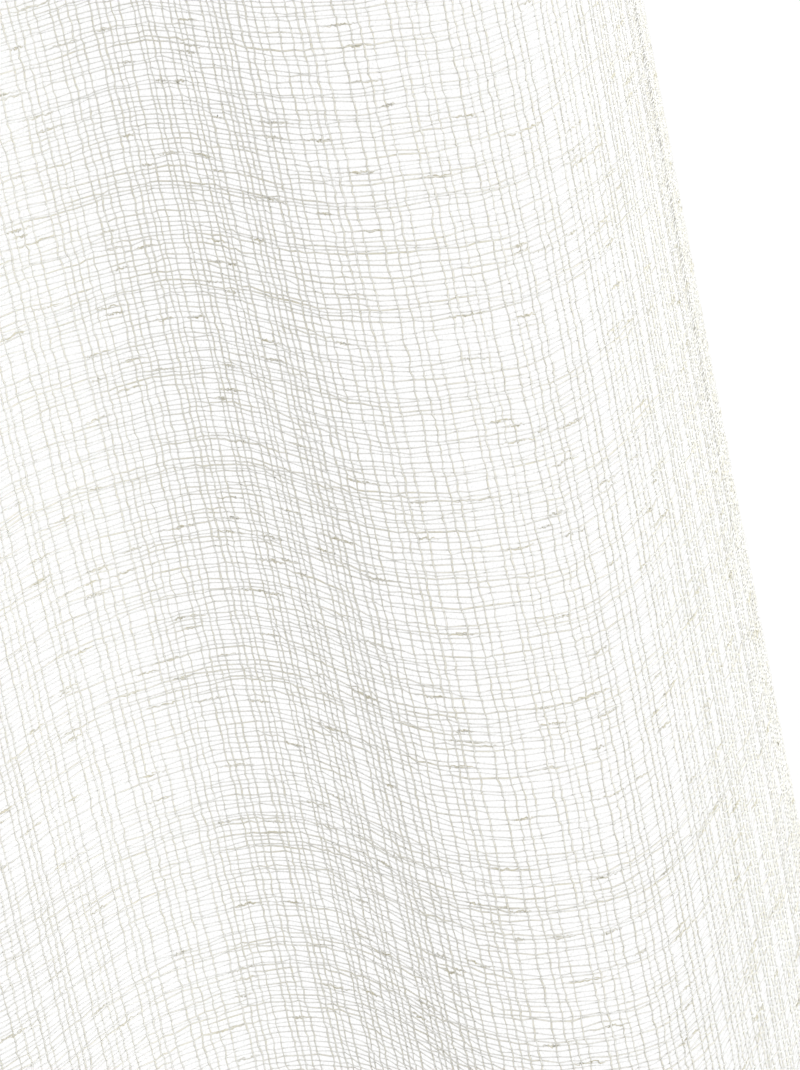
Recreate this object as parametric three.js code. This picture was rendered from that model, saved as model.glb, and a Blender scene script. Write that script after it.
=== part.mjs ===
// A cut length of sheer open-weave curtain cloth, hung by its top edge in soft vertical folds.
// Millimetres, +Z up. The front faces -Y, and X runs from the left edge to the right one.
// The origin is on the cloth, at the middle of its top edge.
import * as THREE from "three";

// The cloth laid flat, with its hems turned. Its width is the last fold's place across.
const CLOTH_LENGTH = 500;
const CLOTH_THICKNESS = 1.2;

// Each edge is turned once to the back and sewn flat, so the cloth is double there.
const HEM_THICKNESS = 2.2;
const TOP_HEM = 16;
const BOTTOM_HEM = 24;
const SIDE_HEM = 9;
const HEM_STEP = 1.5;

// The folds at the top edge and at the bottom edge, from the left side to the right one.
// across: how far along the weft the row lies from the left side.
// turn: the way that the weft runs there, in degrees, 0 along +X and less than 0 towards the front.
// drop: how far the warp there hangs below the highest warp.
const FOLDS = [
  { place: "left side", acrossTop: 0, acrossBottom: 0, turnTop: -72, turnBottom: -68, drop: 14 },
  { place: "left flank", acrossTop: 24, acrossBottom: 23, turnTop: -58, turnBottom: -52, drop: 18 },
  { place: "left shoulder", acrossTop: 46, acrossBottom: 43, turnTop: -25, turnBottom: -20, drop: 23 },
  { place: "left crest", acrossTop: 64, acrossBottom: 58, turnTop: 5, turnBottom: 6, drop: 24 },
  { place: "turning back", acrossTop: 84, acrossBottom: 75, turnTop: 32, turnBottom: 29, drop: 22 },
  { place: "back flank", acrossTop: 108, acrossBottom: 95, turnTop: 44, turnBottom: 31, drop: 18 },
  { place: "into the valley", acrossTop: 130, acrossBottom: 115, turnTop: 26, turnBottom: 13, drop: 14 },
  { place: "valley", acrossTop: 150, acrossBottom: 136, turnTop: -4, turnBottom: -12, drop: 12 },
  { place: "out of the valley", acrossTop: 168, acrossBottom: 157, turnTop: -36, turnBottom: -38, drop: 11 },
  { place: "middle flank", acrossTop: 190, acrossBottom: 183, turnTop: -54, turnBottom: -56, drop: 13 },
  { place: "steepest flank", acrossTop: 212, acrossBottom: 208, turnTop: -58, turnBottom: -58, drop: 19 },
  { place: "upper flank", acrossTop: 232, acrossBottom: 229, turnTop: -48, turnBottom: -50, drop: 25 },
  { place: "near shoulder", acrossTop: 250, acrossBottom: 247, turnTop: -26, turnBottom: -28, drop: 29 },
  { place: "near crest", acrossTop: 268, acrossBottom: 263, turnTop: -6, turnBottom: -2, drop: 31 },
  { place: "past the crest", acrossTop: 286, acrossBottom: 279, turnTop: 10, turnBottom: 19, drop: 32 },
  { place: "falling away", acrossTop: 306, acrossBottom: 296, turnTop: 30, turnBottom: 40, drop: 29 },
  { place: "right flank", acrossTop: 330, acrossBottom: 319, turnTop: 47, turnBottom: 48, drop: 23 },
  { place: "steep right flank", acrossTop: 357, acrossBottom: 352, turnTop: 57, turnBottom: 51, drop: 15 },
  { place: "before the outline", acrossTop: 387, acrossBottom: 387, turnTop: 69, turnBottom: 61, drop: 5 },
  { place: "right side", acrossTop: 414, acrossBottom: 414, turnTop: 92, turnBottom: 88, drop: 0 },
];
const CLOTH_WIDTH = FOLDS[FOLDS.length - 1].acrossTop;

// The warp that the origin lies on, which is the one nearest the middle of the folded width and depth.
const ORIGIN_ACROSS = 183;

// The facets of the solid.
const FACET_WIDTH = 6;
const FACET_HEIGHT = 27;
const PATH_STEP = 0.5;

// The value at x of the smooth curve through the points (xs, ys).
function smoothCurve(xs, ys, x) {
  const last = xs.length - 2;
  let i = 0;
  while (i < last && x >= xs[i + 1]) i += 1;
  const rise = (k) => (ys[k + 1] - ys[k]) / (xs[k + 1] - xs[k]);
  const slope = (k) => {
    if (k === 0) return rise(0);
    if (k === last + 1) return rise(last);
    const before = xs[k] - xs[k - 1];
    const after = xs[k + 1] - xs[k];
    return (rise(k - 1) * after + rise(k) * before) / (before + after);
  };
  const span = xs[i + 1] - xs[i];
  const t = (x - xs[i]) / span;
  const startWeight = (1 + 2 * t) * (1 - t) ** 2;
  const endWeight = t * t * (3 - 2 * t);
  const startSlope = slope(i) * span * t * (1 - t) ** 2;
  const endSlope = slope(i + 1) * span * t * t * (t - 1);
  return startWeight * ys[i] + endWeight * ys[i + 1] + startSlope + endSlope;
}

// One weft of the hung cloth: its points and the way that it runs, every PATH_STEP from the left side.
// down is the weft's distance below the top edge, measured along the warp.
function weftPath(down) {
  const share = down / CLOTH_LENGTH;
  const mixed = (top, bottom) => FOLDS.map((fold) => THREE.MathUtils.lerp(fold[top], fold[bottom], share));
  const across = mixed("acrossTop", "acrossBottom");
  const turns = mixed("turnTop", "turnBottom");
  const drops = FOLDS.map((fold) => fold.drop);
  const path = [];
  let x = 0;
  let y = 0;
  for (let u = 0; u <= CLOTH_WIDTH; u += PATH_STEP) {
    const turn = THREE.MathUtils.degToRad(smoothCurve(across, turns, u));
    if (u > 0) {
      const middle = (turn + path[path.length - 1].turn) / 2;
      x += PATH_STEP * Math.cos(middle);
      y += PATH_STEP * Math.sin(middle);
    }
    path.push({ x, y, z: -down - smoothCurve(across, drops, u), turn });
  }
  const start = path[Math.round(ORIGIN_ACROSS / PATH_STEP)];
  const shift = { x: start.x, y: start.y };
  for (const point of path) {
    point.x -= shift.x;
    point.y -= shift.y;
  }
  return path;
}

// Lines across a length, close to step apart, with one at each side of each hem's edge.
function facetLines(length, step, firstHem, lastHem) {
  const inner = firstHem + HEM_STEP;
  const outer = length - lastHem - HEM_STEP;
  const count = Math.round((outer - inner) / step);
  const lines = [0, firstHem];
  for (let k = 0; k <= count; k += 1) lines.push(inner + ((outer - inner) * k) / count);
  lines.push(length - lastHem, length);
  return lines;
}

// How thick the cloth is at a point of the flat cloth.
function thicknessAt(across, down) {
  const inSide = across <= SIDE_HEM || across >= CLOTH_WIDTH - SIDE_HEM;
  const inEnd = down <= TOP_HEM || down >= CLOTH_LENGTH - BOTTOM_HEM;
  return inSide || inEnd ? HEM_THICKNESS : CLOTH_THICKNESS;
}

// The whole cloth as one closed solid: a front face, a back face and the four cut edges.
// A hem's second layer lies on the back, so the front face runs smooth over the hems.
function hungCloth() {
  const columns = facetLines(CLOTH_WIDTH, FACET_WIDTH, SIDE_HEM, SIDE_HEM);
  const rows = facetLines(CLOTH_LENGTH, FACET_HEIGHT, TOP_HEM, BOTTOM_HEM);
  const top = weftPath(0)[Math.round(ORIGIN_ACROSS / PATH_STEP)].z;
  const points = [];
  const addLayer = (depthAt) => {
    for (const down of rows) {
      const path = weftPath(down);
      for (const across of columns) {
        const place = path[Math.round(across / PATH_STEP)];
        const depth = depthAt(across, down);
        points.push(
          place.x - depth * Math.sin(place.turn),
          place.y + depth * Math.cos(place.turn),
          place.z - top,
        );
      }
    }
  };
  addLayer(() => -CLOTH_THICKNESS / 2);
  addLayer((across, down) => thicknessAt(across, down) - CLOTH_THICKNESS / 2);

  const wide = columns.length;
  const high = rows.length;
  const front = (i, j) => j * wide + i;
  const back = (i, j) => wide * high + front(i, j);
  const faces = [];
  const addQuad = (a, b, c, d) => faces.push(a, b, c, a, c, d);
  for (let j = 0; j < high - 1; j += 1) {
    for (let i = 0; i < wide - 1; i += 1) {
      addQuad(front(i, j), front(i, j + 1), front(i + 1, j + 1), front(i + 1, j));
      addQuad(back(i, j), back(i + 1, j), back(i + 1, j + 1), back(i, j + 1));
    }
    addQuad(front(0, j), back(0, j), back(0, j + 1), front(0, j + 1));
    addQuad(front(wide - 1, j), front(wide - 1, j + 1), back(wide - 1, j + 1), back(wide - 1, j));
  }
  for (let i = 0; i < wide - 1; i += 1) {
    addQuad(front(i, 0), front(i + 1, 0), back(i + 1, 0), back(i, 0));
    addQuad(front(i, high - 1), back(i, high - 1), back(i + 1, high - 1), front(i + 1, high - 1));
  }
  const geometry = new THREE.BufferGeometry();
  geometry.setAttribute("position", new THREE.Float32BufferAttribute(points, 3));
  geometry.setIndex(faces);
  geometry.computeVertexNormals();
  return geometry;
}

const cloth = new THREE.MeshStandardMaterial({ color: 0xe9e7de, roughness: 0.95, metalness: 0 });

const curtain = new THREE.Group();
const panel = new THREE.Mesh(hungCloth(), cloth);
panel.name = "curtain_cloth";
curtain.add(panel);

export default curtain;
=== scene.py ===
import math

import bpy
import numpy as np
from mathutils import Matrix, Vector


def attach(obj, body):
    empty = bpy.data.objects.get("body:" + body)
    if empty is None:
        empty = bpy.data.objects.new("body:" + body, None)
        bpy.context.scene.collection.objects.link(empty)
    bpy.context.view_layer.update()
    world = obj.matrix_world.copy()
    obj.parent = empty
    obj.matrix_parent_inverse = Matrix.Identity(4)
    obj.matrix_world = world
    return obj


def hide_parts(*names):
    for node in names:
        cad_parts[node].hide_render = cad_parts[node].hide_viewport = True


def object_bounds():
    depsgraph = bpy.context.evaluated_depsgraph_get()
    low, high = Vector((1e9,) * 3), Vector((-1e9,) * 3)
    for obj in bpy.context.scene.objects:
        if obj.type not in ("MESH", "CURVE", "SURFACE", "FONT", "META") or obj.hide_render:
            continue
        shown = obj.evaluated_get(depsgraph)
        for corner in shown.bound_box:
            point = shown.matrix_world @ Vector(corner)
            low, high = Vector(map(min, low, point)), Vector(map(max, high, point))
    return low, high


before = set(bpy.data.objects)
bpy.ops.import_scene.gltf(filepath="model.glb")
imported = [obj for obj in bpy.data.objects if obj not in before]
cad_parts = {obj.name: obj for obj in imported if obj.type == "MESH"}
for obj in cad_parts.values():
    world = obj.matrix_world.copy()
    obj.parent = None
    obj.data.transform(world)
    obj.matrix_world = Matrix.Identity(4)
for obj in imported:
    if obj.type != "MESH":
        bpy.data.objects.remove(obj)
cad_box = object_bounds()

scene = bpy.context.scene
mm = 0.001

# The picture is taken with a long lens from a little above, close in on the folds.
# The camera is turned to the right and rolled, so the warp leans and the weft climbs to the right.
aim = Vector((32.3, -55.0, -248.0)) * mm
camera_distance = 600 * mm
camera_yaw = math.radians(9)
camera_pitch = math.radians(7)
camera_roll = math.radians(12.3)

ahead = Vector((
    math.sin(camera_yaw) * math.cos(camera_pitch),
    math.cos(camera_yaw) * math.cos(camera_pitch),
    -math.sin(camera_pitch),
))
level_right = ahead.cross(Vector((0, 0, 1))).normalized()
level_up = level_right.cross(ahead)
picture_right = math.cos(camera_roll) * level_right - math.sin(camera_roll) * level_up
picture_up = math.sin(camera_roll) * level_right + math.cos(camera_roll) * level_up

camera_data = bpy.data.cameras.new("camera")
camera_data.lens = 80
camera_data.sensor_width = 36
camera_data.clip_start = 0.01
camera = bpy.data.objects.new("camera", camera_data)
turned = Matrix((picture_right, picture_up, -ahead)).transposed().to_4x4()
camera.matrix_world = Matrix.Translation(aim - ahead * camera_distance) @ turned
scene.collection.objects.link(camera)
scene.camera = camera
scene.view_settings.view_transform = "Standard"


# Soft daylight comes from the right and from behind the cloth, and the warm room fills in the near side.
# The backdrop is white behind the cloth, and pale grey on the room's side, where white yarns would be lost.
def add_node(tree, kind, feeds, **settings):
    """Adds a node. feeds gives, for each input's name or number, a value or the output that feeds it."""
    node = tree.nodes.new(kind)
    for name, value in settings.items():
        setattr(node, name, value)
    for name, value in feeds.items():
        if isinstance(name, int):
            socket = node.inputs[name]
        else:
            socket = next(s for s in node.inputs if s.enabled and s.name == name)
        if isinstance(value, bpy.types.NodeSocket):
            tree.links.new(value, socket)
        else:
            socket.default_value = value
    return node


def calc(tree, operation, *values):
    """The output of a Math node on these values and outputs."""
    return add_node(tree, "ShaderNodeMath", dict(enumerate(values)), operation=operation).outputs[0]


def blended(tree, factor, first, second):
    """The output of a Mix node that goes from the first colour to the second."""
    mix = add_node(tree, "ShaderNodeMix", {"Factor": factor, "A": first, "B": second}, data_type="RGBA")
    return next(s for s in mix.outputs if s.enabled)


world = bpy.data.worlds.new("soft_daylight")
world.use_nodes = True
scene.world = world
sky = world.node_tree
sky.nodes.clear()
direction = add_node(sky, "ShaderNodeTexCoord", {}).outputs["Generated"]


def towards(way, start, end):
    """0 to 1 as the direction looked in turns from away from this way to along it."""
    along_way = add_node(sky, "ShaderNodeVectorMath", {0: direction, 1: Vector(way).normalized()},
                         operation="DOT_PRODUCT").outputs["Value"]
    return add_node(sky, "ShaderNodeMapRange",
                    {"Value": along_way, "From Min": start, "From Max": end, "To Min": 0.0, "To Max": 1.0},
                    interpolation_type="SMOOTHSTEP").outputs["Result"]


room_light = (0.905, 0.897, 0.88, 1)
daylight = (1.08, 1.09, 1.10, 1)
backdrop_grey = (0.42, 0.42, 0.41, 1)
backdrop_white = (1.01, 1.01, 1.01, 1)
light_colour = blended(sky, towards((0.92, 0.39, 0.0), 0.0, 0.8), room_light, daylight)
backdrop_colour = blended(sky, towards((0, 1, 0), -0.2, 0.6), backdrop_grey, backdrop_white)
seen_directly = add_node(sky, "ShaderNodeLightPath", {}).outputs["Is Camera Ray"]
sky_shader = add_node(sky, "ShaderNodeBackground",
                      {"Color": blended(sky, seen_directly, light_colour, backdrop_colour)})
add_node(sky, "ShaderNodeOutputWorld", {"Surface": sky_shader.outputs[0]})

# The strongest light comes low from the front right, so the flanks that turn to the left are in soft shade.
# One pale panel lights the flank that is seen edge on at the right, and a weak one the valley at the left.
side_light_from = Vector((0.66, -0.73, 0.18))
cool_white = (0.94, 0.97, 1.0)
panel_height = 0.80
# Each panel: its name, where it stands, what it faces, its width, its spread in degrees and its power.
panels = (
    ("right_panel", (0.21, -0.19, -0.25), (0.15, 0.03, -0.25), 0.10, 60, 0.125),
    ("valley_panel", (-0.045, -0.12, -0.25), (-0.055, 0.03, -0.25), 0.05, 45, 0.042),
)

side_light_data = bpy.data.lights.new("side_daylight", "SUN")
side_light_data.energy = 0.70
side_light_data.angle = math.radians(40)
side_light_data.color = (0.98, 0.99, 1.0)
side_light = bpy.data.objects.new("side_daylight", side_light_data)
side_light.rotation_euler = (-side_light_from).to_track_quat("-Z", "Y").to_euler()
side_light.visible_camera = False
scene.collection.objects.link(side_light)
for name, place, facing_place, width, spread, power in panels:
    panel_data = bpy.data.lights.new(name, "AREA")
    panel_data.shape = "RECTANGLE"
    panel_data.size = width
    panel_data.size_y = panel_height
    panel_data.spread = math.radians(spread)
    panel_data.energy = power
    panel_data.color = cool_white
    panel = bpy.data.objects.new(name, panel_data)
    panel.location = place
    panel.rotation_euler = (Vector(facing_place) - panel.location).to_track_quat("-Z", "Y").to_euler()
    panel.visible_camera = False
    scene.collection.objects.link(panel)


# The floor is a small pale disc under the hanging cloth, low enough to stay out of the picture.
floor_radius = 0.40
floor_below_cloth = 0.09
pale_grey = (0.62, 0.615, 0.60, 1)

floor_z = cad_box[0][2] - floor_below_cloth
rim_steps = 96
rim = [2 * math.pi * k / rim_steps for k in range(rim_steps)]
floor_mesh = bpy.data.meshes.new("floor")
floor_mesh.from_pydata(
    [(floor_radius * math.cos(a), floor_radius * math.sin(a), floor_z) for a in rim],
    [],
    [list(range(rim_steps))],
)
floor = bpy.data.objects.new("floor", floor_mesh)
scene.collection.objects.link(floor)
floor_paint = bpy.data.materials.new("pale_floor")
floor_paint.use_nodes = True
floor_shader = floor_paint.node_tree.nodes["Principled BSDF"]
floor_shader.inputs["Base Color"].default_value = pale_grey
floor_shader.inputs["Roughness"].default_value = 0.9
floor_mesh.materials.append(floor_paint)


# The cloth's ground: a sheer cotton-look sheet, hemmed to 414 by 500 mm and hung from its top edge.
# It is the fine haze of fibre between the yarns, and its folds are the ones that every yarn follows.
# Each fold: place, mm across at the top and at the bottom, the weft's turn there in degrees
# (0 along +X, less than 0 towards the front), and how far the warp there hangs below the highest one.
cloth_length = 500 * mm
folds = [
    ("left side", 0, 0, -72, -68, 14),
    ("left flank", 24, 23, -58, -52, 18),
    ("left shoulder", 46, 43, -25, -20, 23),
    ("left crest", 64, 58, 5, 6, 24),
    ("turning back", 84, 75, 32, 29, 22),
    ("back flank", 108, 95, 44, 31, 18),
    ("into the valley", 130, 115, 26, 13, 14),
    ("valley", 150, 136, -4, -12, 12),
    ("out of the valley", 168, 157, -36, -38, 11),
    ("middle flank", 190, 183, -54, -56, 13),
    ("steepest flank", 212, 208, -58, -58, 19),
    ("upper flank", 232, 229, -48, -50, 25),
    ("near shoulder", 250, 247, -26, -28, 29),
    ("near crest", 268, 263, -6, -2, 31),
    ("past the crest", 286, 279, 10, 19, 32),
    ("falling away", 306, 296, 30, 40, 29),
    ("right flank", 330, 319, 47, 48, 23),
    ("steep right flank", 357, 352, 57, 51, 15),
    ("before the outline", 387, 387, 69, 61, 5),
    ("right side", 414, 414, 92, 88, 0),
]
cloth_width = folds[-1][1] * mm
origin_across = 183 * mm
path_step = 0.5 * mm
ground_columns = 120
ground_rows = 60
ground_thickness = 0.15 * mm


def smooth_curve(xs, ys, x):
    """The values at x of the smooth curve through the points (xs, ys)."""
    gaps = np.diff(xs)
    rises = np.diff(ys) / gaps
    slopes = np.empty(len(xs))
    slopes[0] = rises[0]
    slopes[-1] = rises[-1]
    slopes[1:-1] = (rises[:-1] * gaps[1:] + rises[1:] * gaps[:-1]) / (gaps[:-1] + gaps[1:])
    i = np.clip(np.searchsorted(xs, x, side="right") - 1, 0, len(gaps) - 1)
    t = (x - xs[i]) / gaps[i]
    start = (1 + 2 * t) * (1 - t) ** 2 * ys[i] + t * (1 - t) ** 2 * gaps[i] * slopes[i]
    end = t * t * (3 - 2 * t) * ys[i + 1] + t * t * (t - 1) * gaps[i] * slopes[i + 1]
    return start + end


across_top, across_bottom, turn_top, turn_bottom, drop = np.array([row[1:] for row in folds], float).T
path_across = np.arange(0, cloth_width + path_step / 2, path_step)
origin_index = round(origin_across / path_step)


def hung_weft(share):
    """Points along the weft at this share of the way down, and the way that each one faces."""
    places = (across_top + (across_bottom - across_top) * share) * mm
    turn = np.radians(smooth_curve(places, turn_top + (turn_bottom - turn_top) * share, path_across))
    middle = (turn[1:] + turn[:-1]) / 2
    x = np.concatenate([[0], np.cumsum(np.cos(middle))]) * path_step
    y = np.concatenate([[0], np.cumsum(np.sin(middle))]) * path_step
    z = -share * cloth_length - smooth_curve(places, drop * mm, path_across)
    points = np.stack([x - x[origin_index], y - y[origin_index], z], axis=1)
    facing = np.stack([np.sin(turn), -np.cos(turn), np.zeros(len(turn))], axis=1)
    return points, facing


top_z = hung_weft(0)[0][origin_index, 2]
columns = np.round(np.linspace(0, len(path_across) - 1, ground_columns + 1)).astype(int)
form_points = []
form_facing = []
form_places = []
for share in np.linspace(0, 1, ground_rows + 1):
    points, facing = hung_weft(share)
    form_points.extend(points[columns] - (0, 0, top_z))
    form_facing.extend(facing[columns])
    form_places.extend((across / cloth_width, 1 - share) for across in path_across[columns])
form_quads = []
for j in range(ground_rows):
    for i in range(ground_columns):
        corner = j * (ground_columns + 1) + i
        below = corner + ground_columns + 1
        form_quads.append((corner, below, below + 1, corner + 1))
form_mesh = bpy.data.meshes.new("fold_form")
form_mesh.from_pydata(form_points, [], form_quads)
form_mesh.shade_smooth()
weave_map = form_mesh.uv_layers.new(name="weave_map")
for loop in form_mesh.loops:
    weave_map.data[loop.index].uv = form_places[loop.vertex_index]
facing_attribute = form_mesh.attributes.new("facing", "FLOAT_VECTOR", "POINT")
facing_attribute.data.foreach_set("vector", np.array(form_facing, np.float32).ravel())
fold_form = bpy.data.objects.new("fold_form", form_mesh)
scene.collection.objects.link(fold_form)


def new_tree(name, inputs, outputs, kind="GeometryNodeTree"):
    """A node tree with these sockets, its group input and its group output."""
    tree = bpy.data.node_groups.new(name, kind)
    for title, socket in inputs.items():
        tree.interface.new_socket(title, in_out="INPUT", socket_type="NodeSocket" + socket)
    for title, socket in outputs.items():
        tree.interface.new_socket(title, in_out="OUTPUT", socket_type="NodeSocket" + socket)
    return tree, tree.nodes.new("NodeGroupInput").outputs, tree.nodes.new("NodeGroupOutput").inputs


def use(tree, group, feeds):
    """The outputs of a node group placed in the tree."""
    kind = "GeometryNodeGroup" if tree.bl_idname == "GeometryNodeTree" else "ShaderNodeGroup"
    node = tree.nodes.new(kind)
    node.node_tree = group
    for name, value in feeds.items():
        if isinstance(value, bpy.types.NodeSocket):
            tree.links.new(value, node.inputs[name])
        else:
            node.inputs[name].default_value = value
    return node.outputs


def new_material(name):
    material = bpy.data.materials.new(name)
    material.use_nodes = True
    return material, material.node_tree, material.node_tree.nodes["Principled BSDF"]


# Loose fibre: a broad mottle for the colour and a fine height for the bump.
fibre, given, result = new_tree(
    "loose fibre", {"Vector": "Vector", "Fineness": "Float"}, {"Mottle": "Float", "Height": "Float"},
    kind="ShaderNodeTree",
)
mottle = add_node(fibre, "ShaderNodeTexNoise",
                  {"Vector": given["Vector"], "Scale": calc(fibre, "MULTIPLY", given["Fineness"], 0.1),
                   "Detail": 1.0})
height = add_node(fibre, "ShaderNodeTexNoise",
                  {"Vector": given["Vector"], "Scale": given["Fineness"], "Detail": 1.0})
fibre.links.new(mottle.outputs[0], result["Mottle"])
fibre.links.new(height.outputs[0], result["Height"])

yarn_pale = (0.95, 0.95, 0.942, 1)
yarn_grey = (0.90, 0.897, 0.877, 1)

haze_density = 0.06

haze_material, shade, shader = new_material("fibre_haze")
object_place = add_node(shade, "ShaderNodeTexCoord", {}).outputs["Object"]
haze_look = use(shade, fibre, {"Vector": object_place, "Fineness": 1300.0})
haze_alpha = add_node(shade, "ShaderNodeMapRange",
                      {"Value": haze_look["Height"], "From Min": 0.45, "From Max": 0.75,
                       "To Min": 0.0, "To Max": haze_density})
shade.links.new(haze_alpha.outputs[0], shader.inputs["Alpha"])
shade.links.new(blended(shade, haze_look["Mottle"], yarn_pale, yarn_grey), shader.inputs["Base Color"])
shader.inputs["Roughness"].default_value = 0.95


def plain_mesh(shaped):
    """The finished mesh of an object with its modifiers applied."""
    depsgraph = bpy.context.evaluated_depsgraph_get()
    return bpy.data.meshes.new_from_object(
        shaped.evaluated_get(depsgraph), preserve_all_data_layers=True, depsgraph=depsgraph
    )


solidify = fold_form.modifiers.new("thickness", "SOLIDIFY")
solidify.thickness = ground_thickness
solidify.offset = 0
ground = bpy.data.objects.new("cloth_ground", plain_mesh(fold_form))
fold_form.modifiers.clear()
scene.collection.objects.link(ground)
ground.data.name = "cloth_ground"
ground.data.materials.clear()
ground.data.materials.append(haze_material)
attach(ground, "root")
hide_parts("curtain_cloth")


# The warp: fine slack-twisted ends in groups of four and five, with a wide gap after each group.
# They sway a little from side to side, as no thread holds them hard in so open a weave.
def random_value(tree, low, high, id_number, seed):
    """A random number for each id_number."""
    node = add_node(tree, "FunctionNodeRandomValue",
                    {"Min": low, "Max": high, "ID": id_number, "Seed": seed}, data_type="FLOAT")
    return next(s for s in node.outputs if s.enabled)


def vector_of(tree, x, y, z):
    return add_node(tree, "ShaderNodeCombineXYZ", {"X": x, "Y": y, "Z": z}).outputs[0]


def noise_of(tree, place, detail=1.0):
    """Smooth noise about 0, mostly between -1 and 1."""
    noise = add_node(tree, "ShaderNodeTexNoise", {"Vector": place, "Scale": 1.0, "Detail": detail})
    return calc(tree, "MULTIPLY", calc(tree, "SUBTRACT", noise.outputs[0], 0.5), 4.0)


# Threads set side by side from First to Last, as points on the X axis.
spaced, given, result = new_tree(
    "spaced threads",
    {"Count": "Int", "First": "Float", "Last": "Float", "Unevenness": "Float", "Group": "Float",
     "Wide Gap": "Float", "Seed": "Int"},
    {"Threads": "Geometry"},
)
thread_points = add_node(spaced, "GeometryNodePoints", {"Count": given["Count"]}).outputs[0]
number = add_node(spaced, "GeometryNodeInputIndex", {}).outputs[0]
jitter = random_value(spaced, calc(spaced, "MULTIPLY", given["Unevenness"], -1.0), given["Unevenness"],
                      number, given["Seed"])
group_here = calc(spaced, "FLOOR", calc(spaced, "DIVIDE", number, given["Group"]))
group_next = calc(spaced, "FLOOR", calc(spaced, "DIVIDE", calc(spaced, "ADD", number, 1.0), given["Group"]))
extra = calc(spaced, "MULTIPLY", calc(spaced, "SUBTRACT", group_next, group_here), given["Wide Gap"])
gap = calc(spaced, "ADD", calc(spaced, "ADD", 1.0, jitter), extra)
not_last = calc(spaced, "LESS_THAN", number, calc(spaced, "SUBTRACT", given["Count"], 1.0))
running = add_node(spaced, "GeometryNodeAccumulateField", {"Value": calc(spaced, "MULTIPLY", gap, not_last)},
                   data_type="FLOAT", domain="POINT")
before, total = [s for s in running.outputs if s.enabled][1:3]
reach = calc(spaced, "SUBTRACT", given["Last"], given["First"])
thread_at = calc(spaced, "MULTIPLY_ADD", calc(spaced, "DIVIDE", before, total), reach, given["First"])
spaced.links.new(
    add_node(spaced, "GeometryNodeSetPosition",
             {"Geometry": thread_points, "Position": vector_of(spaced, thread_at, 0.0, 0.0)}).outputs[0],
    result["Threads"],
)

# Where a crossing of the weave strays to: ends sway across, and picks bunch and part up and down.
# The shares say how strong the short kinks are beside the broad sway, and the slots beside the bunching.
kink_share = 0.75
slot_share = 1.2

stray, given, result = new_tree(
    "stray", {"Across": "Float", "Down": "Float", "Sway": "Float", "Bunching": "Float"},
    {"Across": "Float", "Down": "Float"},
)


def stray_noise(across_scale, down_scale, offset):
    """Noise over the flat cloth, with its grain in waves per metre across and down."""
    return noise_of(stray, vector_of(stray, calc(stray, "MULTIPLY", given["Across"], across_scale),
                                     calc(stray, "MULTIPLY", given["Down"], down_scale), offset))


broad_sway = stray_noise(150.0, 130.0, 3.1)
kinks = calc(stray, "MULTIPLY", stray_noise(230.0, 340.0, 5.9), kink_share)
stray.links.new(
    calc(stray, "MULTIPLY_ADD", calc(stray, "ADD", broad_sway, kinks), given["Sway"], given["Across"]),
    result["Across"],
)
broad_bunching = stray_noise(60.0, 210.0, 8.7)
slots = calc(stray, "MULTIPLY", stray_noise(75.0, 360.0, 2.3), slot_share)
stray.links.new(
    calc(stray, "MULTIPLY_ADD", calc(stray, "ADD", broad_bunching, slots), given["Bunching"], given["Down"]),
    result["Down"],
)

# A hem's turn: past either edge of the cloth the thread rounds it and lies back on the far side.
hem_turn_radius = 0.5 * mm
turned_edge, given, result = new_tree(
    "turned edge", {"Along": "Float", "Length": "Float", "Radius": "Float"},
    {"Along": "Float", "Depth": "Float"},
)
last_flat = calc(turned_edge, "SUBTRACT", given["Length"], given["Radius"])
past_start = calc(turned_edge, "MAXIMUM", calc(turned_edge, "SUBTRACT", given["Radius"], given["Along"]), 0.0)
past_end = calc(turned_edge, "MAXIMUM", calc(turned_edge, "SUBTRACT", given["Along"], last_flat), 0.0)
past = calc(turned_edge, "ADD", past_start, past_end)
end_side = calc(turned_edge, "SIGN", calc(turned_edge, "SUBTRACT", past_end, past_start))
angle = calc(turned_edge, "MINIMUM", calc(turned_edge, "DIVIDE", past, given["Radius"]), math.pi)
bulge = calc(turned_edge, "MULTIPLY", calc(turned_edge, "SINE", angle), given["Radius"])
half_turn = calc(turned_edge, "MULTIPLY", given["Radius"], math.pi)
laid_back = calc(turned_edge, "MAXIMUM", calc(turned_edge, "SUBTRACT", past, half_turn), 0.0)
not_before = calc(turned_edge, "MAXIMUM", given["Along"], given["Radius"])
flat_part = calc(turned_edge, "MINIMUM", not_before, last_flat)
turned_edge.links.new(
    calc(turned_edge, "MULTIPLY_ADD", end_side, calc(turned_edge, "SUBTRACT", bulge, laid_back), flat_part),
    result["Along"],
)
turned_edge.links.new(
    calc(turned_edge, "MULTIPLY", calc(turned_edge, "SUBTRACT", 1.0, calc(turned_edge, "COSINE", angle)),
         given["Radius"]),
    result["Depth"],
)

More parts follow.
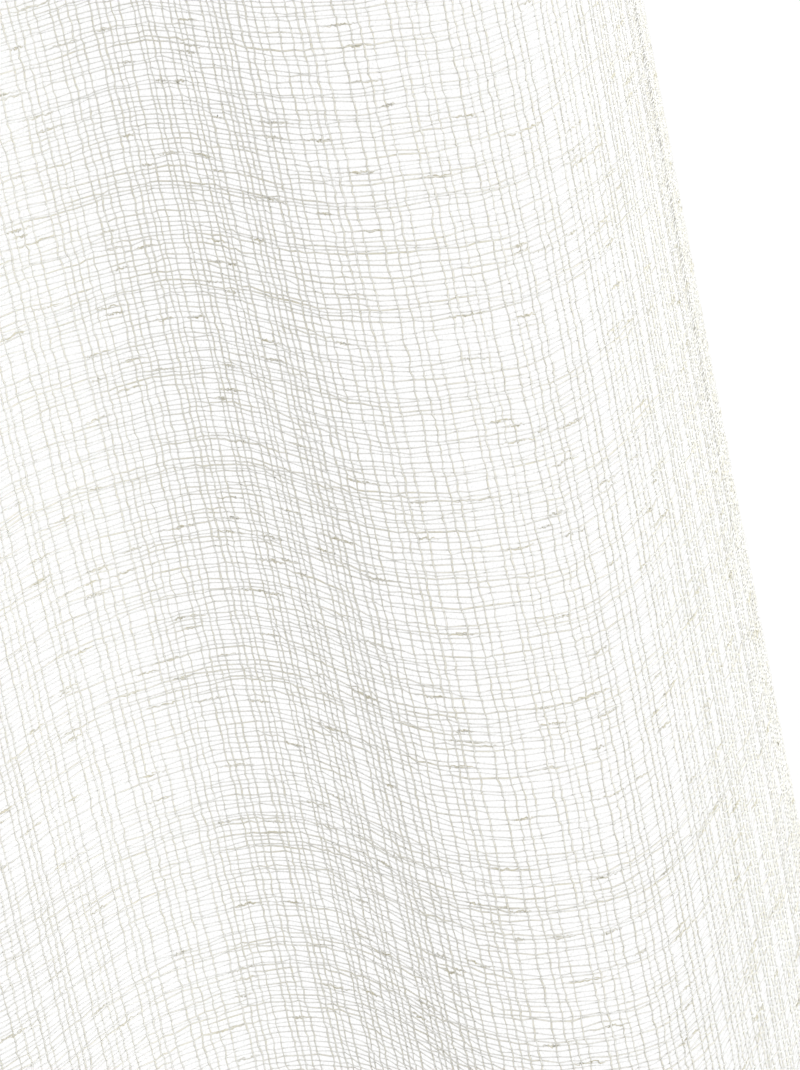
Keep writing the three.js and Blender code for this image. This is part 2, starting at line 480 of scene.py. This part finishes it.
# A place of the flat cloth, across and down, as a point of the hung cloth. Depth is towards the back.
on_cloth, given, result = new_tree(
    "on the hung cloth", {"Form": "Object", "Across": "Float", "Down": "Float", "Depth": "Float"},
    {"Position": "Vector"},
)
map_margin = 1e-5
side_turn = use(on_cloth, turned_edge,
                {"Along": given["Across"], "Length": cloth_width, "Radius": hem_turn_radius})
end_turn = use(on_cloth, turned_edge,
               {"Along": given["Down"], "Length": cloth_length, "Radius": hem_turn_radius})
form = add_node(on_cloth, "GeometryNodeObjectInfo", {"Object": given["Form"]}).outputs["Geometry"]
form_map, form_faces = [
    add_node(on_cloth, "GeometryNodeInputNamedAttribute", {"Name": name}, data_type="FLOAT_VECTOR").outputs[0]
    for name in ("weave_map", "facing")
]
share_across = calc(on_cloth, "DIVIDE", side_turn["Along"], cloth_width)
share_up = calc(on_cloth, "SUBTRACT", 1.0, calc(on_cloth, "DIVIDE", end_turn["Along"], cloth_length))
map_u, map_v = [
    add_node(on_cloth, "ShaderNodeClamp",
             {"Value": value, "Min": map_margin, "Max": 1 - map_margin}).outputs[0]
    for value in (share_across, share_up)
]
map_place = vector_of(on_cloth, map_u, map_v, 0.0)
form_point = add_node(on_cloth, "GeometryNodeInputPosition", {}).outputs[0]
found_point, found_facing = [
    add_node(on_cloth, "GeometryNodeSampleUVSurface",
             {"Mesh": form, "Value": value, "UV Map": form_map, "Sample UV": map_place},
             data_type="FLOAT_VECTOR").outputs[0]
    for value in (form_point, form_faces)
]
hem_depth = calc(on_cloth, "ADD", side_turn["Depth"], end_turn["Depth"])
backwards = calc(on_cloth, "MULTIPLY", calc(on_cloth, "ADD", given["Depth"], hem_depth), -1.0)
away = add_node(on_cloth, "ShaderNodeVectorMath", {0: found_facing, "Scale": backwards},
                operation="SCALE").outputs[0]
on_cloth.links.new(
    add_node(on_cloth, "ShaderNodeVectorMath", {0: found_point, 1: away}, operation="ADD").outputs[0],
    result["Position"],
)

# Points in rows, joined into one thread for each row, and spun into three-sided yarns.
# Its map lays the threads out as strips, Columns of them side by side, so each has its own colours.
# Crossing is a whole number where the yarn crosses another, and a half in the middle between two.
# Slub moves the yarn's colour towards a darker olive: random tone along the ends, a fixed tint on loose
# fibres, and painted shade on thick picks and slubs.
yarn_sides = 3
spun, given, result = new_tree(
    "spun yarn",
    {"Points": "Geometry", "Thread": "Float", "Along": "Float", "Thickness": "Float", "Slub": "Float",
     "Crossing": "Float", "Threads": "Float", "Columns": "Float", "Material": "Material"},
    {"Yarn": "Geometry"},
)
marked = given["Points"]
for name in ("Along", "Thread", "Slub", "Crossing", "Thickness"):
    marked = add_node(spun, "GeometryNodeStoreNamedAttribute",
                      {"Geometry": marked, "Name": name.lower(), "Value": given[name]},
                      data_type="FLOAT", domain="POINT").outputs[0]
threads = add_node(spun, "GeometryNodePointsToCurves",
                   {"Points": marked, "Curve Group ID": given["Thread"], "Weight": given["Along"]}).outputs[0]
section = add_node(spun, "GeometryNodeCurvePrimitiveCircle",
                   {"Resolution": yarn_sides, "Radius": 0.5}).outputs[0]
number = add_node(spun, "GeometryNodeInputIndex", {}).outputs[0]
section = add_node(spun, "GeometryNodeStoreNamedAttribute",
                   {"Geometry": section, "Name": "around", "Value": number},
                   data_type="FLOAT", domain="POINT").outputs[0]
along, thread, around, thickness = [
    add_node(spun, "GeometryNodeInputNamedAttribute", {"Name": name}, data_type="FLOAT").outputs[0]
    for name in ("along", "thread", "around", "thickness")
]
yarn = add_node(spun, "GeometryNodeCurveToMesh",
                {"Curve": threads, "Profile Curve": section, "Scale": thickness,
                 "Fill Caps": True}).outputs[0]
yarn = add_node(spun, "GeometryNodeSetShadeSmooth", {0: yarn}).outputs[0]
strip_row = calc(spun, "FLOOR", calc(spun, "DIVIDE", calc(spun, "ADD", thread, 0.5), given["Columns"]))
strip_column = calc(spun, "SUBTRACT", thread, calc(spun, "MULTIPLY", strip_row, given["Columns"]))
strip_rows = calc(spun, "CEIL", calc(spun, "DIVIDE", given["Threads"], given["Columns"]))
strip_u = calc(spun, "DIVIDE", calc(spun, "ADD", strip_column, along), given["Columns"])
face_middle = add_node(spun, "GeometryNodeFieldOnDomain", {0: around},
                       data_type="FLOAT", domain="FACE").outputs[0]
on_last_face = calc(spun, "COMPARE", face_middle, (yarn_sides - 1) / 2, 0.1)
past_seam = calc(spun, "MULTIPLY", on_last_face, calc(spun, "LESS_THAN", around, 0.5))
unrolled = calc(spun, "MULTIPLY_ADD", past_seam, float(yarn_sides), around)
round_yarn = calc(spun, "DIVIDE", unrolled, float(yarn_sides))
strip_v = calc(spun, "DIVIDE",
               calc(spun, "ADD", strip_row, calc(spun, "MULTIPLY_ADD", round_yarn, 0.8, 0.1)), strip_rows)
yarn = add_node(spun, "GeometryNodeStoreNamedAttribute",
                {"Geometry": yarn, "Name": "OFBake", "Value": vector_of(spun, strip_u, strip_v, 0.0)},
                data_type="FLOAT2", domain="CORNER").outputs[0]
yarn = add_node(spun, "GeometryNodeRealizeInstances", {0: yarn}).outputs[0]
yarn = add_node(spun, "GeometryNodeSetMaterial", {"Geometry": yarn, "Material": given["Material"]}).outputs[0]
spun.links.new(yarn, result["Yarn"])

end_count = 147
pick_count = 405
# Threads run past the cloth's edges by the hems' widths, and are turned to the back there.
side_hem = 9 * mm
top_hem = 16 * mm
bottom_hem = 24 * mm
turn_allowance = (math.pi - 2) * hem_turn_radius
first_across = -side_hem - turn_allowance
last_across = cloth_width + side_hem + turn_allowance
first_down = -top_hem - turn_allowance
last_down = cloth_length + bottom_hem + turn_allowance
end_spacing = {"Count": end_count, "First": first_across, "Last": last_across,
               "Unevenness": 0.26, "Group": 4.6, "Wide Gap": 0.85, "Seed": 7}
pick_spacing = {"Count": pick_count, "First": first_down, "Last": last_down,
                "Unevenness": 0.30, "Group": 5.3, "Wide Gap": 0.3, "Seed": 23}
sway = 0.28 * mm
bunching = 0.32 * mm
nudge_limit = 0.24 * mm
end_thickness = 0.54 * mm
end_jog = 0.24 * mm
between_crossings = 0.5


def sampled_place(tree, threads, number):
    """The place along the axis of the thread with this number."""
    place = add_node(tree, "GeometryNodeInputPosition", {}).outputs[0]
    node = add_node(tree, "GeometryNodeSampleIndex", {"Geometry": threads, "Value": place, "Index": number},
                    data_type="FLOAT_VECTOR", domain="POINT")
    return add_node(tree, "ShaderNodeSeparateXYZ", {0: node.outputs[0]}).outputs["X"]


def row_and_place(tree, per_row):
    """For points in rows of per_row, each point's row and its place in the row."""
    number = add_node(tree, "GeometryNodeInputIndex", {}).outputs[0]
    row = calc(tree, "FLOOR", calc(tree, "DIVIDE", calc(tree, "ADD", number, 0.5), per_row))
    return row, calc(tree, "SUBTRACT", number, calc(tree, "MULTIPLY", row, per_row))


# Where one end crosses one pick, with a small nudge of its own up or down.
crossing, given, result = new_tree(
    "crossing", {"End": "Float", "Pick": "Float"}, {"Across": "Float", "Down": "Float", "Number": "Float"},
)
end_places = use(crossing, spaced, end_spacing)["Threads"]
pick_places = use(crossing, spaced, pick_spacing)["Threads"]
strayed = use(crossing, stray, {"Across": sampled_place(crossing, end_places, given["End"]),
                                "Down": sampled_place(crossing, pick_places, given["Pick"]),
                                "Sway": sway, "Bunching": bunching})
crossing_number = calc(crossing, "MULTIPLY_ADD", given["Pick"], float(end_count), given["End"])
nudge = random_value(crossing, -nudge_limit, nudge_limit, crossing_number, 11)
crossing.links.new(strayed["Across"], result["Across"])
crossing.links.new(calc(crossing, "ADD", strayed["Down"], nudge), result["Down"])
crossing.links.new(crossing_number, result["Number"])

warp_tree, given, result = new_tree(
    "warp ends",
    {"Form": "Object", "First End": "Int", "Ends": "Int", "Thickness": "Float", "Material": "Material"},
    {"Yarn": "Geometry"},
)
row, pick_number = row_and_place(warp_tree, float(pick_count))
end_number = calc(warp_tree, "ADD", row, given["First End"])
crossed = use(warp_tree, crossing, {"End": end_number, "Pick": pick_number})
jogged = calc(warp_tree, "ADD", crossed["Across"],
              random_value(warp_tree, -end_jog, end_jog, crossed["Number"], 3))
end_position = use(warp_tree, on_cloth,
                   {"Form": given["Form"], "Across": jogged, "Down": crossed["Down"]})["Position"]
warp_points = add_node(
    warp_tree, "GeometryNodePoints",
    {"Count": calc(warp_tree, "MULTIPLY", given["Ends"], float(pick_count)), "Position": end_position},
).outputs[0]
end_character = random_value(warp_tree, 0.85, 1.2, end_number, 5)
uneven_place = vector_of(warp_tree, calc(warp_tree, "MULTIPLY", pick_number, 0.21), end_number, 0.0)
uneven = calc(warp_tree, "MULTIPLY_ADD", noise_of(warp_tree, uneven_place), 0.16,
              random_value(warp_tree, 0.8, 1.2, crossed["Number"], 13))
end_fullness = calc(warp_tree, "MULTIPLY", end_character, uneven)
along_end = calc(warp_tree, "DIVIDE", pick_number, pick_count - 1.0)
darker_here = random_value(warp_tree, 0.0, 0.7, crossed["Number"], 19)
warp_tree.links.new(
    use(warp_tree, spun,
        {"Points": warp_points, "Thread": row, "Along": along_end,
         "Thickness": calc(warp_tree, "MULTIPLY", end_fullness, given["Thickness"]), "Slub": darker_here,
         "Crossing": pick_number, "Threads": given["Ends"], "Columns": 1.0,
         "Material": given["Material"]})["Yarn"],
    result["Yarn"],
)

# The darker olive is the ends' random tone, and painted shade on thick picks and slubs for the dimmer, warmer
# light that comes through thick fibre.
slub_tone_and_shade_colour = (0.73, 0.695, 0.55, 1)
# Painted shade: the yarn is darkened near each place where it crosses another yarn, where the two shade each
# other.
crossing_shade_colour = (0.76, 0.755, 0.72, 1)

yarn_material, shade, shader = new_material("off_white_yarn")
object_place = add_node(shade, "ShaderNodeTexCoord", {}).outputs["Object"]
fibre_look = use(shade, fibre, {"Vector": object_place, "Fineness": 4200.0})
mottled = blended(shade, fibre_look["Mottle"], yarn_pale, yarn_grey)
# This mark reads the slub attribute: random tone along the ends, and painted shade on thick picks and slubs.
tone_and_shade_mark = add_node(shade, "ShaderNodeAttribute", {}, attribute_name="slub").outputs["Fac"]
crossing_place = add_node(shade, "ShaderNodeAttribute", {}, attribute_name="crossing").outputs["Fac"]
# The mask is 1 at each crossing of ends and picks and falls to 0 before midway between two: painted shade of
# the crossing yarns.
crossing_shade_mask = add_node(shade, "ShaderNodeMapRange",
                       {"Value": calc(shade, "PINGPONG", crossing_place, between_crossings),
                        "From Min": 0.04, "From Max": 0.24, "To Min": 1.0, "To Max": 0.0}).outputs[0]
yarn_colour = blended(shade, tone_and_shade_mark, mottled, slub_tone_and_shade_colour)
yarn_bump = add_node(shade, "ShaderNodeBump",
                     {"Height": fibre_look["Height"], "Strength": 0.5, "Distance": 0.05 * mm})
shade.links.new(blended(shade, crossing_shade_mask, yarn_colour, crossing_shade_colour), shader.inputs["Base Color"])
shade.links.new(yarn_bump.outputs[0], shader.inputs["Normal"])
shader.inputs["Roughness"].default_value = 0.92
shader.inputs["Sheen Weight"].default_value = 0.25
shader.inputs["Sheen Roughness"].default_value = 0.6


def woven_piece(name, tree, **sizes):
    """Runs the tree with these sizes and keeps its result as a plain mesh piece of that name."""
    loom = bpy.data.objects.new(name + "_loom", bpy.data.meshes.new(name + "_loom"))
    scene.collection.objects.link(loom)
    modifier = loom.modifiers.new(name, "NODES")
    modifier.node_group = tree
    for socket in tree.interface.items_tree:
        key = socket.name.lower().replace(" ", "_")
        if key in sizes:
            modifier[socket.identifier] = sizes[key]
    mesh = plain_mesh(loom)
    bpy.data.objects.remove(loom)
    mesh.name = name
    piece = bpy.data.objects.new(name, mesh)
    scene.collection.objects.link(piece)
    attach(piece, "root")
    return piece


left_ends = end_count // 2
woven = [
    woven_piece(name, warp_tree, form=fold_form, first_end=first, ends=ends,
                thickness=end_thickness, material=yarn_material)
    for name, first, ends in (("warp_ends_left", 0, left_ends),
                              ("warp_ends_right", left_ends, end_count - left_ends))
]


# The weft: finer picks that pass over and under the ends and hold them apart.
# They bunch in places and part in others, which leaves open slots between them.
pick_thickness = 0.42 * mm
crimp = 0.30 * mm

weft_tree, given, result = new_tree(
    "weft picks",
    {"Form": "Object", "First Pick": "Int", "Picks": "Int", "Thickness": "Float", "Material": "Material"},
    {"Yarn": "Geometry"},
)
row, end_number = row_and_place(weft_tree, float(end_count))
pick_number = calc(weft_tree, "ADD", row, given["First Pick"])
crossed = use(weft_tree, crossing, {"End": end_number, "Pick": pick_number})
over_or_under = calc(weft_tree, "PINGPONG", calc(weft_tree, "ADD", pick_number, end_number), 1.0)
pick_position = use(
    weft_tree, on_cloth,
    {"Form": given["Form"], "Across": crossed["Across"], "Down": crossed["Down"],
     "Depth": calc(weft_tree, "MULTIPLY_ADD", over_or_under, 2 * crimp, -crimp)},
)["Position"]
weft_points = add_node(
    weft_tree, "GeometryNodePoints",
    {"Count": calc(weft_tree, "MULTIPLY", given["Picks"], float(end_count)), "Position": pick_position},
).outputs[0]
thick_and_thin_place = vector_of(weft_tree, calc(weft_tree, "MULTIPLY", end_number, 0.27),
                                 calc(weft_tree, "MULTIPLY", pick_number, 7.13), 1.7)
thick_and_thin = calc(weft_tree, "MULTIPLY_ADD", noise_of(weft_tree, thick_and_thin_place), 0.28,
                      random_value(weft_tree, 0.8, 1.15, pick_number, 17))
# Thicker stretches of a pick are painted darker and more olive: painted shade for the dimmer, warmer light
# through thick yarn.
thick_is_shaded = calc(weft_tree, "MAXIMUM", calc(weft_tree, "SUBTRACT", thick_and_thin, 1.0), 0.0)
along_pick = calc(weft_tree, "DIVIDE", end_number, end_count - 1.0)
weft_tree.links.new(
    use(weft_tree, spun,
        {"Points": weft_points, "Thread": row, "Along": along_pick,
         "Thickness": calc(weft_tree, "MULTIPLY", thick_and_thin, given["Thickness"]),
         "Slub": calc(weft_tree, "MULTIPLY", thick_is_shaded, 2.0), "Crossing": end_number,
         "Threads": given["Picks"], "Columns": 1.0, "Material": given["Material"]})["Yarn"],
    result["Yarn"],
)

third_of_picks = pick_count // 3
woven += [
    woven_piece(name, weft_tree, form=fold_form, first_pick=k * third_of_picks, picks=third_of_picks,
                thickness=pick_thickness, material=yarn_material)
    for k, name in enumerate(("weft_picks_upper", "weft_picks_middle", "weft_picks_lower"))
]


# Slubs: short lengths where the picks' roving ran thick and loose, so it frays into a few slack strands.
# Each is two slack strands that curl about one pick, 5 to 18 mm long, and painted darker and more olive than
# the plain yarn: painted shade for the dimmer, warmer light that comes through thick fibre.
slub_count = 940
strands_per_slub = 2
strand_points = 16
strand_thickness = 0.36 * mm
slub_tangle = 0.48 * mm

slub_tree, given, result = new_tree(
    "slubs",
    {"Form": "Object", "Slubs": "Int", "Thickness": "Float", "Tangle": "Float", "Material": "Material"},
    {"Yarn": "Geometry"},
)
pick_places = use(slub_tree, spaced, pick_spacing)["Threads"]
strand, place_in_row = row_and_place(slub_tree, float(strand_points))
slub_number = calc(slub_tree, "FLOOR",
                   calc(slub_tree, "DIVIDE", calc(slub_tree, "ADD", strand, 0.5), float(strands_per_slub)))
slub_pick = calc(slub_tree, "FLOOR", random_value(slub_tree, 0.0, pick_count - 0.01, slub_number, 31))
slub_middle = random_value(slub_tree, first_across, last_across, slub_number, 37)
slub_length = random_value(slub_tree, 5 * mm, 18 * mm, slub_number, 41)
strand_length = calc(slub_tree, "MULTIPLY", slub_length, random_value(slub_tree, 0.6, 1.0, strand, 43))
strand_shift = random_value(slub_tree, -2.2 * mm, 2.2 * mm, strand, 47)
along_strand = calc(slub_tree, "DIVIDE", place_in_row, strand_points - 1.0)
fullness = calc(slub_tree, "SINE", calc(slub_tree, "MULTIPLY", along_strand, math.pi))
looseness = calc(slub_tree, "MULTIPLY", calc(slub_tree, "MULTIPLY_ADD", fullness, 0.7, 0.3), given["Tangle"])
strand_point = add_node(slub_tree, "GeometryNodeInputIndex", {}).outputs[0]
astray_across, astray_down, astray_deep = [
    calc(slub_tree, "MULTIPLY", random_value(slub_tree, -1.0, 1.0, strand_point, seed), looseness)
    for seed in (61, 67, 71)
]
from_middle = calc(slub_tree, "MULTIPLY_ADD", calc(slub_tree, "SUBTRACT", along_strand, 0.5), strand_length,
                   strand_shift)
strand_across = calc(slub_tree, "ADD", calc(slub_tree, "ADD", slub_middle, from_middle), astray_across)
slub_at = sampled_place(slub_tree, pick_places, slub_pick)
strayed = use(slub_tree, stray, {"Across": strand_across, "Down": slub_at, "Sway": 0.0, "Bunching": bunching})
strand_down = calc(slub_tree, "ADD", strayed["Down"], astray_down)
strand_position = use(
    slub_tree, on_cloth,
    {"Form": given["Form"], "Across": strand_across, "Down": strand_down, "Depth": astray_deep},
)["Position"]
slub_points = add_node(
    slub_tree, "GeometryNodePoints",
    {"Count": calc(slub_tree, "MULTIPLY", given["Slubs"], float(strands_per_slub * strand_points)),
     "Position": strand_position},
).outputs[0]
slub_swelling = calc(slub_tree, "MULTIPLY", calc(slub_tree, "MULTIPLY_ADD", fullness, 0.7, 0.3),
                     random_value(slub_tree, 0.5, 1.5, strand_point, 53))
slub_strength = random_value(slub_tree, 0.55, 1.2, slub_number, 59)
# Each slub is painted darkest at its fullest middle: painted shade for the dimmer, warmer light through the
# thick strands.
slub_painted_shade = calc(slub_tree, "MULTIPLY", fullness, slub_strength)
slub_tree.links.new(
    use(slub_tree, spun,
        {"Points": slub_points, "Thread": strand, "Along": along_strand,
         "Thickness": calc(slub_tree, "MULTIPLY", slub_swelling, given["Thickness"]),
         "Slub": slub_painted_shade, "Crossing": between_crossings, "Columns": 50.0,
         "Threads": calc(slub_tree, "MULTIPLY", given["Slubs"], float(strands_per_slub)),
         "Material": given["Material"]})["Yarn"],
    result["Yarn"],
)
woven.append(
    woven_piece("slubs", slub_tree, form=fold_form, slubs=slub_count, thickness=strand_thickness,
                tangle=slub_tangle, material=yarn_material)
)


# Loose fibres: single hairs that have worked out of the yarns and stand off both faces of the cloth.
# They are much finer than the yarn, and soften its edges against the light.
fibre_count = 800
fibre_points = 8
fibre_thickness = 0.10 * mm
fibre_lift = 1.5 * mm

fibre_tree, given, result = new_tree(
    "loose fibres",
    {"Form": "Object", "Fibres": "Int", "Thickness": "Float", "Lift": "Float", "Material": "Material"},
    {"Yarn": "Geometry"},
)
strand, place_in_row = row_and_place(fibre_tree, float(fibre_points))
along_fibre = calc(fibre_tree, "DIVIDE", place_in_row, fibre_points - 1.0)
root_across = random_value(fibre_tree, 0.0, cloth_width, strand, 73)
root_down = random_value(fibre_tree, 0.0, cloth_length, strand, 79)
reach = calc(fibre_tree, "MULTIPLY", along_fibre, random_value(fibre_tree, 3 * mm, 9 * mm, strand, 83))
bearing = calc(fibre_tree, "MULTIPLY_ADD", along_fibre, random_value(fibre_tree, -2.0, 2.0, strand, 89),
               random_value(fibre_tree, 0.0, 2 * math.pi, strand, 97))
lift = calc(fibre_tree, "MULTIPLY", calc(fibre_tree, "MULTIPLY", along_fibre, given["Lift"]),
            random_value(fibre_tree, -1.0, 1.0, strand, 101))
fibre_position = use(
    fibre_tree, on_cloth,
    {"Form": given["Form"],
     "Across": calc(fibre_tree, "MULTIPLY_ADD", calc(fibre_tree, "COSINE", bearing), reach, root_across),
     "Down": calc(fibre_tree, "MULTIPLY_ADD", calc(fibre_tree, "SINE", bearing), reach, root_down),
     "Depth": lift},
)["Position"]
hairs = add_node(
    fibre_tree, "GeometryNodePoints",
    {"Count": calc(fibre_tree, "MULTIPLY", given["Fibres"], float(fibre_points)), "Position": fibre_position},
).outputs[0]
fibre_tree.links.new(
    use(fibre_tree, spun,
        {"Points": hairs, "Thread": strand, "Along": along_fibre,
         "Thickness": calc(fibre_tree, "MULTIPLY", calc(fibre_tree, "MULTIPLY_ADD", along_fibre, -0.7, 1.0),
                           given["Thickness"]),
         "Slub": 0.3, "Crossing": between_crossings, "Columns": 50.0, "Threads": given["Fibres"],
         "Material": given["Material"]})["Yarn"],
    result["Yarn"],
)
woven.append(
    woven_piece("loose_fibres", fibre_tree, form=fold_form, fibres=fibre_count, thickness=fibre_thickness,
                lift=fibre_lift, material=yarn_material)
)


# The hems: every edge is turned once to the back and sewn down with a white lockstitch near the raw edge.
# A lockstitch has one thread on each face, and both dip into the cloth at every needle hole.
stitch_count = 166
points_per_stitch = 4
thread_thickness = 0.36 * mm
seam_from_raw_edge = 1.8 * mm
thread_sunk = 0.35 * mm
thread_rise = 0.45 * mm

lockstitch, given, result = new_tree(
    "lockstitch line",
    {"Form": "Object", "From Across": "Float", "From Down": "Float", "To Across": "Float", "To Down": "Float",
     "Thickness": "Float", "Material": "Material"},
    {"Yarn": "Geometry"},
)
line_points = stitch_count * points_per_stitch + 1
face, place_in_row = row_and_place(lockstitch, float(line_points))
along_line = calc(lockstitch, "DIVIDE", place_in_row, line_points - 1.0)
line_across, line_down = [
    calc(lockstitch, "MULTIPLY_ADD", along_line, calc(lockstitch, "SUBTRACT", given["To " + way],
                                                      given["From " + way]), given["From " + way])
    for way in ("Across", "Down")
]
arch = calc(lockstitch, "ABSOLUTE",
            calc(lockstitch, "SINE", calc(lockstitch, "MULTIPLY", along_line, stitch_count * math.pi)))
off_middle = calc(lockstitch, "MULTIPLY_ADD", arch, thread_rise, thread_sunk)
thread_depth = calc(lockstitch, "MULTIPLY_ADD", off_middle, calc(lockstitch, "MULTIPLY_ADD", face, 2.0, -1.0),
                    hem_turn_radius)
line_position = use(lockstitch, on_cloth, {"Form": given["Form"], "Across": line_across, "Down": line_down,
                                           "Depth": thread_depth})["Position"]
line_ends = add_node(lockstitch, "GeometryNodePoints",
                     {"Count": 2 * line_points, "Position": line_position}).outputs[0]
lockstitch.links.new(
    use(lockstitch, spun, {"Points": line_ends, "Thread": face, "Along": along_line,
                           "Thickness": given["Thickness"], "Slub": 0.0, "Crossing": between_crossings,
                           "Columns": 1.0, "Threads": 2.0, "Material": given["Material"]})["Yarn"],
    result["Yarn"],
)

thread_white = (0.94, 0.94, 0.935, 1)
thread_shade = (0.86, 0.86, 0.85, 1)

thread_material, shade, shader = new_material("sewing_thread")
object_place = add_node(shade, "ShaderNodeTexCoord", {}).outputs["Object"]
thread_look = use(shade, fibre, {"Vector": object_place, "Fineness": 6000.0})
thread_bump = add_node(shade, "ShaderNodeBump",
                       {"Height": thread_look["Height"], "Strength": 0.35, "Distance": 0.03 * mm})
thread_colour = blended(shade, thread_look["Mottle"], thread_white, thread_shade)
shade.links.new(thread_colour, shader.inputs["Base Color"])
shade.links.new(thread_bump.outputs[0], shader.inputs["Normal"])
shader.inputs["Roughness"].default_value = 0.6
shader.inputs["Sheen Weight"].default_value = 0.15

side_seam = side_hem - seam_from_raw_edge
top_seam = top_hem - seam_from_raw_edge
bottom_seam = cloth_length - bottom_hem + seam_from_raw_edge
right_seam = cloth_width - side_seam
seams = (
    ("left_hem_stitching", side_seam, 0.0, side_seam, cloth_length),
    ("right_hem_stitching", right_seam, 0.0, right_seam, cloth_length),
    ("top_hem_stitching", 0.0, top_seam, cloth_width, top_seam),
    ("bottom_hem_stitching", 0.0, bottom_seam, cloth_width, bottom_seam),
)
for name, from_across, from_down, to_across, to_down in seams:
    woven.append(
        woven_piece(name, lockstitch, form=fold_form, from_across=from_across, from_down=from_down,
                    to_across=to_across, to_down=to_down, thickness=thread_thickness,
                    material=thread_material)
    )


# The form that every piece was laid on is removed; the ground and all its threads stay, as pieces of one
# body.
bpy.data.objects.remove(fold_form)
